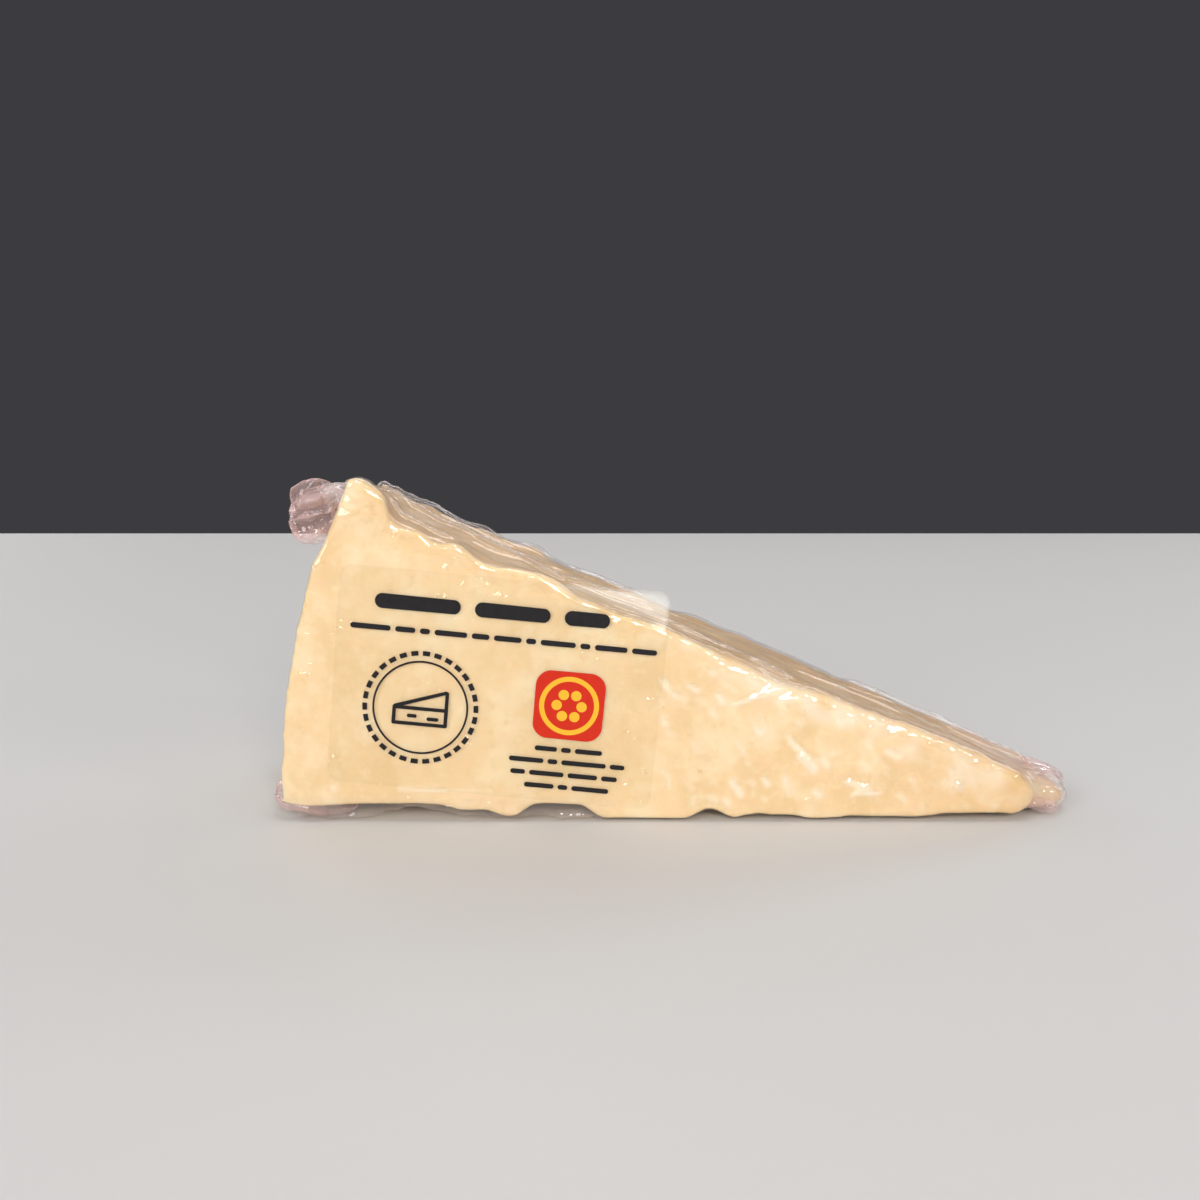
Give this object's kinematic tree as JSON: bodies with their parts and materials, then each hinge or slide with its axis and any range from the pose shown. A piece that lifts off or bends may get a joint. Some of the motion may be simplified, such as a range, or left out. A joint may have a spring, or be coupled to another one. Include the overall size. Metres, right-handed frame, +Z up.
{
  "type": "sealed cheese wedge",
  "caption": "Wedge of hard ewe's-milk cheese in a tight clear bag with gathered ends and a clear printed label, standing on one cut side.",
  "frame": {"origin": "under the middle of the pack, on the surface it stands on", "axes": "+X from the rind towards the blunted tip, +Z up, and the labelled cut face looks along -Y"},
  "size_m": [0.167, 0.0442, 0.0686],
  "materials": {
    "cheese_paste": "moist, fine-grained pale cream cheese, slightly translucent",
    "clear_film": "thin, clear, glossy shrink film with creases",
    "clear_label": "clear glossy sticker",
    "black_ink": "flat black print",
    "red_ink": "flat red print",
    "yellow_ink": "flat yellow print"
  },
  "bodies": {
    "root": {"sealed_pack": "cheese_paste", "clear_label": "clear_label"}
  },
  "joints": []
}
